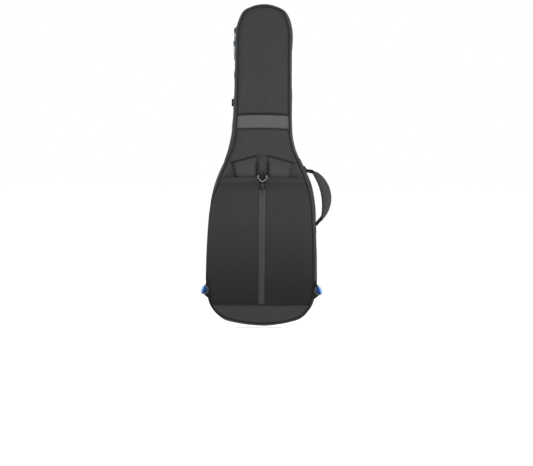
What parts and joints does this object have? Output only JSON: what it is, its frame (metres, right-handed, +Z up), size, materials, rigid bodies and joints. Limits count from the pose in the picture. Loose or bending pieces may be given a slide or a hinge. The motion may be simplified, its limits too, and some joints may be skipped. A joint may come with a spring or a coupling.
{
  "type": "padded gig bag",
  "caption": "Padded soft case for an electric guitar, with stowable shoulder straps, a side carry handle, a zipped clamshell lid and zipped front pockets.",
  "frame": {"origin": "the shoulder-strap yoke on the back face, on the centre line", "axes": "+Z up along the neck, +X to the side with the carry handle as seen from behind, -Y out of the back (towards the wearer), +Y out of the lid"},
  "size_m": [0.4432, 0.1421, 1.1],
  "materials": {
    "shell": "woven 600 denier nylon, dark grey",
    "gusset": "woven nylon, dark grey",
    "band": "woven webbing fabric, mid grey",
    "foam": "closed-cell foam, hidden between skin and lining",
    "lining": "soft plush lining, grey",
    "piping": "bound cord, near black",
    "zip_tape": "woven zip tape with a moulded coil",
    "webbing": "black nylon webbing",
    "blue_webbing": "vivid blue nylon webbing",
    "strap": "padded strap with a spacer-mesh face",
    "ring_metal": "polished nickel plate",
    "slider_metal": "black lacquer",
    "hook_metal": "nickel plate",
    "buckle": "black acetal",
    "pull_cord": "moulded rubber cord, grey"
  },
  "bodies": {
    "back": {"back_foam": "foam", "back_lining": "lining", "back_piping": "piping", "bottom_panel": "shell", "corner_wing_left": "webbing", "corner_wing_right": "webbing", "end_pad": "lining", "gusset_bottom": "gusset", "gusset_left": "gusset", "gusset_right": "gusset", "gusset_neck": "gusset", "handle_anchors": "webbing", "hinge_gusset": "gusset", "ladder_locks": "buckle", "main_zip_back": "zip_tape", "neck_loop": "webbing", "neck_panel": "shell", "neck_rest": "lining", "neck_strap": "webbing", "pocket_hem": "shell", "pocket_panel_left": "shell", "pocket_panel_right": "shell", "pocket_zip_tape": "zip_tape", "ring_tab": "webbing", "shoulder_strap_left": "strap", "shoulder_strap_right": "strap", "snap_hooks": "hook_metal", "strap_bay_panel": "shell", "strap_webbings": "webbing", "trim_band": "band", "wing_loop_left": "blue_webbing", "wing_loop_right": "blue_webbing", "yoke_panel": "shell"},
    "lid": {"front_foam": "foam", "front_lining": "lining", "front_panel": "shell", "front_piping": "piping", "lid_gusset_body": "gusset", "lid_gusset_neck": "gusset", "main_zip_front": "zip_tape", "body_pocket": "shell", "body_pocket_zip": "zip_tape", "neck_pocket": "shell", "neck_pocket_zip": "zip_tape"},
    "main_slider_lower": {"main_slider_lower": "slider_metal"},
    "main_pull_lower": {"main_pull_lower": "pull_cord"},
    "main_slider_upper": {"main_slider_upper": "slider_metal"},
    "main_pull_upper": {"main_pull_upper": "pull_cord"},
    "pocket_slider": {"pocket_slider": "slider_metal"},
    "pocket_pull": {"pocket_pull": "slider_metal"},
    "body_pocket_slider": {"body_pocket_slider": "slider_metal"},
    "body_pocket_pull": {"body_pocket_pull": "pull_cord"},
    "neck_pocket_slider": {"neck_pocket_slider": "slider_metal"},
    "neck_pocket_pull": {"neck_pocket_pull": "pull_cord"},
    "handle": {"handle_grip": "strap", "handle_webbing": "webbing"},
    "centre_ring": {"centre_ring": "ring_metal"},
    "d_ring_left": {"d_ring_left": "ring_metal"},
    "d_ring_right": {"d_ring_right": "ring_metal"}
  },
  "joints": [
    {"name": "lid_hinge", "type": "hinge", "parent": "back", "child": "lid", "pos_m": [-0.189, 0.06, -0.33], "axis": [0, 0, 1], "range_deg": [0, 160]},
    {"name": "main_slider_lower_run", "type": "slide", "parent": "back", "child": "main_slider_lower", "axis": [0, 0, -1], "range_m": [0, 0.172]},
    {"name": "main_pull_lower_swing", "type": "hinge", "parent": "main_slider_lower", "child": "main_pull_lower", "pos_m": [-0.1025, 0.06, 0.388], "axis": [0, 1, 0], "range_deg": [0, 150]},
    {"name": "main_slider_upper_run", "type": "hinge", "parent": "back", "child": "main_slider_upper", "pos_m": [0.0903, 0.06, 0.40347], "axis": [0, 1, 0], "range_deg": [0, 13]},
    {"name": "main_pull_upper_swing", "type": "hinge", "parent": "main_slider_upper", "child": "main_pull_upper", "pos_m": [-0.10028, 0.06, 0.43263], "axis": [0, 1, 0], "range_deg": [0, 150]},
    {"name": "pocket_slider_run", "type": "slide", "parent": "back", "child": "pocket_slider", "axis": [0, 0, -1], "range_m": [0, 0.385]},
    {"name": "pocket_pull_swing", "type": "hinge", "parent": "pocket_slider", "child": "pocket_pull", "pos_m": [0, -0.0196, -0.1055], "axis": [-1, 0, 0], "range_deg": [0, 150]},
    {"name": "body_pocket_slider_run", "type": "slide", "parent": "lid", "child": "body_pocket_slider", "axis": [-1, 0, 0], "range_m": [0, 0.205]},
    {"name": "body_pocket_pull_swing", "type": "hinge", "parent": "body_pocket_slider", "child": "body_pocket_pull", "pos_m": [0.1, 0.1185, -0.155], "axis": [0, 0, -1], "range_deg": [0, 150]},
    {"name": "neck_pocket_slider_run", "type": "slide", "parent": "lid", "child": "neck_pocket_slider", "axis": [0, 0, -1], "range_m": [0, 0.165]},
    {"name": "neck_pocket_pull_swing", "type": "hinge", "parent": "neck_pocket_slider", "child": "neck_pocket_pull", "pos_m": [-0.048, 0.1155, 0.318], "axis": [1, 0, 0], "range_deg": [0, 150]},
    {"name": "handle_swing", "type": "hinge", "parent": "back", "child": "handle", "pos_m": [0.154, 0.027, -0.053], "axis": [0.2319, 0, -0.9727], "range_deg": [-50, 50]},
    {"name": "centre_ring_swing", "type": "hinge", "parent": "back", "child": "centre_ring", "pos_m": [0, -0.0178, -0.0695], "axis": [-1, 0, 0], "range_deg": [0, 150]},
    {"name": "d_ring_left_swing", "type": "hinge", "parent": "back", "child": "d_ring_left", "pos_m": [-0.2, -0.0066, -0.459], "axis": [-0.342, 0, -0.9397], "range_deg": [0, 160]},
    {"name": "d_ring_right_swing", "type": "hinge", "parent": "back", "child": "d_ring_right", "pos_m": [0.2, -0.0066, -0.459], "axis": [-0.342, 0, 0.9397], "range_deg": [0, 160]}
  ]
}
